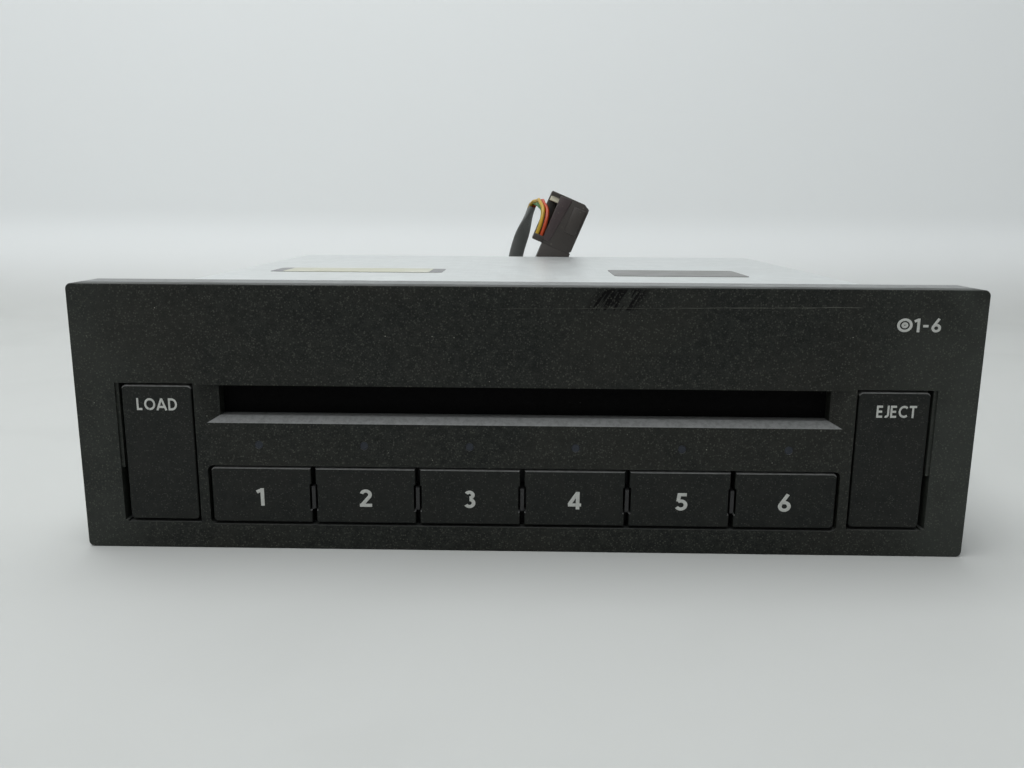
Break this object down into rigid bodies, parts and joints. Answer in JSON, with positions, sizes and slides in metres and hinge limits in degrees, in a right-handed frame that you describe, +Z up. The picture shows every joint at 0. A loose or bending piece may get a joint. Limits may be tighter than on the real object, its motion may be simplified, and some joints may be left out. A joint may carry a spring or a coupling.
{
  "type": "car disc changer",
  "caption": "In-dash disc changer: dark front bezel with a disc slot, numbered keys and tall end keys on a sheet metal case, with disc trays, play arm and rear lead.",
  "frame": {"origin": "bottom centre of the unit without its rear lead: on the middle plane, halfway between the bezel's face and the rear stud's end, at the height of the bezel's lower edge", "axes": "+Z up, +Y from the front bezel to the rear panel, +X to the right seen from the front"},
  "size_m": [0.188, 0.2188, 0.0797],
  "materials": {
    "bezel_plastic": "fine-grained charcoal moulding",
    "key_plastic": "smooth satin moulding",
    "light_guide": "cloudy clear plastic",
    "inner_plastic": "plain black moulding",
    "tray_plastic": "smooth dark grey moulding",
    "gear_nylon": "natural nylon",
    "zinc_sheet": "bright zinc-coated sheet",
    "screw_steel": "plated steel",
    "circuit_board": "green solder mask",
    "motor_can": "plated steel can",
    "pinion_brass": "turned brass",
    "roller_rubber": "matt rubber",
    "lens_glass": "coated lens",
    "spring_steel": "spring steel",
    "grommet_rubber": "black rubber",
    "sleeve_cloth": "dark grey braided sleeve",
    "wire_insulation": "coloured wire insulation",
    "connector_plastic": "dark brown moulding"
  },
  "bodies": {
    "case": {"bezel": "bezel_plastic", "key_carrier": "inner_plastic", "light_guides": "light_guide", "key_switches": "inner_plastic", "front_board": "circuit_board", "bezel_screws": "screw_steel", "case_screws": "screw_steel", "chassis": "zinc_sheet", "front_plate": "zinc_sheet", "top_cover": "zinc_sheet", "rear_panel": "zinc_sheet", "rear_stud": "screw_steel", "rear_socket": "inner_plastic", "main_board": "circuit_board", "drive_bracket": "zinc_sheet", "roller_bracket": "zinc_sheet", "disc_guide": "inner_plastic", "load_motor": "motor_can", "arm_post": "screw_steel", "swing_motor": "motor_can", "lead_grommet": "grommet_rubber", "lead_sleeve": "sleeve_cloth", "lead_wires": "wire_insulation", "lead_connector": "connector_plastic"},
    "load_key": {"load_key": "key_plastic"},
    "eject_key": {"eject_key": "key_plastic"},
    "disc_key_1": {"disc_key_1": "key_plastic"},
    "disc_key_2": {"disc_key_2": "key_plastic"},
    "disc_key_3": {"disc_key_3": "key_plastic"},
    "disc_key_4": {"disc_key_4": "key_plastic"},
    "disc_key_5": {"disc_key_5": "key_plastic"},
    "disc_key_6": {"disc_key_6": "key_plastic"},
    "slot_flap": {"slot_flap": "inner_plastic"},
    "feed_roller": {"feed_roller": "screw_steel", "roller_sleeves": "roller_rubber", "roller_gear": "gear_nylon"},
    "idler_gear": {"idler_gear": "gear_nylon"},
    "motor_pinion": {"motor_pinion": "pinion_brass"},
    "play_arm": {"play_arm": "zinc_sheet", "spindle_motor": "motor_can", "sled_rod": "screw_steel", "sled_motor": "motor_can"},
    "swing_pinion": {"swing_pinion": "pinion_brass"},
    "turntable": {"turntable": "inner_plastic"},
    "pickup_sled": {"pickup_sled": "inner_plastic", "pickup_lens": "lens_glass"},
    "sled_screw": {"sled_screw": "screw_steel"},
    "lift_rack": {"lift_rack": "gear_nylon"},
    "lift_screw_1": {"lift_screw_1": "gear_nylon"},
    "lift_screw_2": {"lift_screw_2": "gear_nylon"},
    "lift_screw_3": {"lift_screw_3": "gear_nylon"},
    "lift_screw_4": {"lift_screw_4": "gear_nylon"},
    "disc_tray_1": {"disc_tray_1": "tray_plastic"},
    "disc_tray_2": {"disc_tray_2": "tray_plastic"},
    "disc_tray_3": {"disc_tray_3": "tray_plastic"},
    "disc_tray_4": {"disc_tray_4": "tray_plastic"},
    "disc_tray_5": {"disc_tray_5": "tray_plastic"},
    "disc_tray_6": {"disc_tray_6": "tray_plastic"},
    "latch_left": {"latch_left": "spring_steel"},
    "latch_right": {"latch_right": "spring_steel"}
  },
  "joints": [
    {"name": "load_key_press", "type": "slide", "parent": "case", "child": "load_key", "axis": [0, 1, 0], "range_m": [0, 0.001], "stiffness_N_per_m": 400, "springref_m": -0.001},
    {"name": "eject_key_press", "type": "slide", "parent": "case", "child": "eject_key", "axis": [0, 1, 0], "range_m": [0, 0.001], "stiffness_N_per_m": 400, "springref_m": -0.001},
    {"name": "disc_key_1_press", "type": "slide", "parent": "case", "child": "disc_key_1", "axis": [0, 1, 0], "range_m": [0, 0.001], "stiffness_N_per_m": 400, "springref_m": -0.001},
    {"name": "disc_key_2_press", "type": "slide", "parent": "case", "child": "disc_key_2", "axis": [0, 1, 0], "range_m": [0, 0.001], "stiffness_N_per_m": 400, "springref_m": -0.001},
    {"name": "disc_key_3_press", "type": "slide", "parent": "case", "child": "disc_key_3", "axis": [0, 1, 0], "range_m": [0, 0.001], "stiffness_N_per_m": 400, "springref_m": -0.001},
    {"name": "disc_key_4_press", "type": "slide", "parent": "case", "child": "disc_key_4", "axis": [0, 1, 0], "range_m": [0, 0.001], "stiffness_N_per_m": 400, "springref_m": -0.001},
    {"name": "disc_key_5_press", "type": "slide", "parent": "case", "child": "disc_key_5", "axis": [0, 1, 0], "range_m": [0, 0.001], "stiffness_N_per_m": 400, "springref_m": -0.001},
    {"name": "disc_key_6_press", "type": "slide", "parent": "case", "child": "disc_key_6", "axis": [0, 1, 0], "range_m": [0, 0.001], "stiffness_N_per_m": 400, "springref_m": -0.001},
    {"name": "slot_flap_swing", "type": "hinge", "parent": "case", "child": "slot_flap", "pos_m": [0, -0.089, 0.038], "axis": [1, 0, 0], "range_deg": [0, 75], "stiffness_Nm_per_rad": 0.001, "springref_deg": -17.19},
    {"name": "feed_roller_turn", "type": "hinge", "parent": "case", "child": "feed_roller", "pos_m": [0, -0.0675, 0.0287], "axis": [1, 0, 0], "continuous": true},
    {"name": "idler_turn", "type": "hinge", "parent": "case", "child": "idler_gear", "pos_m": [-0.068, -0.0555, 0.0197], "axis": [1, 0, 0], "continuous": true},
    {"name": "motor_pinion_turn", "type": "hinge", "parent": "case", "child": "motor_pinion", "pos_m": [-0.068, -0.04398, 0.02306], "axis": [1, 0, 0], "continuous": true},
    {"name": "play_arm_swing", "type": "hinge", "parent": "case", "child": "play_arm", "pos_m": [0.0755, 0.0575, 0.028], "axis": [0, 0, -1], "range_deg": [0, 55.44]},
    {"name": "swing_pinion_turn", "type": "hinge", "parent": "case", "child": "swing_pinion", "pos_m": [0.0713, 0.0719, 0.026], "axis": [0, 0, -1], "range_deg": [-222.76, 0]},
    {"name": "turntable_spin", "type": "hinge", "parent": "play_arm", "child": "turntable", "pos_m": [0.0755, -0.03417, 0.035], "axis": [0, 0, 1], "continuous": true},
    {"name": "pickup_slide", "type": "slide", "parent": "play_arm", "child": "pickup_sled", "axis": [0, 1, 0], "range_m": [0, 0.035]},
    {"name": "sled_screw_turn", "type": "hinge", "parent": "play_arm", "child": "sled_screw", "pos_m": [0.0825, 0.00583, 0.0308], "axis": [0, 1, 0], "range_deg": [0, 4201]},
    {"name": "lift_rack_slide", "type": "slide", "parent": "case", "child": "lift_rack", "axis": [0, 1, 0], "range_m": [-0.01508, 0]},
    {"name": "lift_screw_1_turn", "type": "hinge", "parent": "case", "child": "lift_screw_1", "pos_m": [-0.054, -0.0495, 0.02], "axis": [0, 0, 1], "range_deg": [0, 181]},
    {"name": "lift_screw_2_turn", "type": "hinge", "parent": "case", "child": "lift_screw_2", "pos_m": [0.054, -0.0495, 0.02], "axis": [0, 0, 1], "range_deg": [-181, 0]},
    {"name": "lift_screw_3_turn", "type": "hinge", "parent": "case", "child": "lift_screw_3", "pos_m": [-0.054, 0.0605, 0.02], "axis": [0, 0, 1], "range_deg": [0, 181]},
    {"name": "lift_screw_4_turn", "type": "hinge", "parent": "case", "child": "lift_screw_4", "pos_m": [0.054, 0.0605, 0.02], "axis": [0, 0, 1], "range_deg": [-181, 0]},
    {"name": "disc_tray_1_lift", "type": "slide", "parent": "case", "child": "disc_tray_1", "axis": [0, 0, 1], "range_m": [-0.00605, 0]},
    {"name": "disc_tray_2_lift", "type": "slide", "parent": "case", "child": "disc_tray_2", "axis": [0, 0, 1], "range_m": [-0.00605, 0]},
    {"name": "disc_tray_3_lift", "type": "slide", "parent": "case", "child": "disc_tray_3", "axis": [0, 0, 1], "range_m": [-0.00605, 0]},
    {"name": "disc_tray_4_lift", "type": "slide", "parent": "case", "child": "disc_tray_4", "axis": [0, 0, 1], "range_m": [0, 0.00605]},
    {"name": "disc_tray_5_lift", "type": "slide", "parent": "case", "child": "disc_tray_5", "axis": [0, 0, 1], "range_m": [0, 0.00605]},
    {"name": "disc_tray_6_lift", "type": "slide", "parent": "case", "child": "disc_tray_6", "axis": [0, 0, 1], "range_m": [0, 0.00605]},
    {"name": "latch_right_release", "type": "hinge", "parent": "case", "child": "latch_right", "pos_m": [0.085, -0.0615, 0.012], "axis": [0, 0, -1], "range_deg": [0, 11], "stiffness_Nm_per_rad": 0.05, "springref_deg": -5.73},
    {"name": "latch_left_release", "type": "hinge", "parent": "case", "child": "latch_left", "pos_m": [-0.085, -0.0615, 0.012], "axis": [0, 0, 1], "range_deg": [0, 11], "stiffness_Nm_per_rad": 0.05, "springref_deg": -5.73}
  ],
  "couplings": [
    {"joint": "idler_turn", "follows": "feed_roller_turn", "ratio": -0.66667},
    {"joint": "motor_pinion_turn", "follows": "feed_roller_turn", "ratio": 2},
    {"joint": "swing_pinion_turn", "follows": "play_arm_swing", "ratio": -4},
    {"joint": "sled_screw_turn", "follows": "pickup_slide", "rad_per_m": 2094.4},
    {"joint": "lift_screw_1_turn", "follows": "lift_rack_slide", "rad_per_m": -208.33},
    {"joint": "lift_screw_2_turn", "follows": "lift_rack_slide", "rad_per_m": 208.33},
    {"joint": "lift_screw_3_turn", "follows": "lift_rack_slide", "rad_per_m": -208.33},
    {"joint": "lift_screw_4_turn", "follows": "lift_rack_slide", "rad_per_m": 208.33},
    {"joint": "disc_tray_1_lift", "follows": "lift_rack_slide", "ratio": 0.39789},
    {"joint": "disc_tray_2_lift", "follows": "lift_rack_slide", "ratio": 0.39789},
    {"joint": "disc_tray_3_lift", "follows": "lift_rack_slide", "ratio": 0.39789},
    {"joint": "disc_tray_4_lift", "follows": "lift_rack_slide", "ratio": -0.39789},
    {"joint": "disc_tray_5_lift", "follows": "lift_rack_slide", "ratio": -0.39789},
    {"joint": "disc_tray_6_lift", "follows": "lift_rack_slide", "ratio": -0.39789}
  ]
}
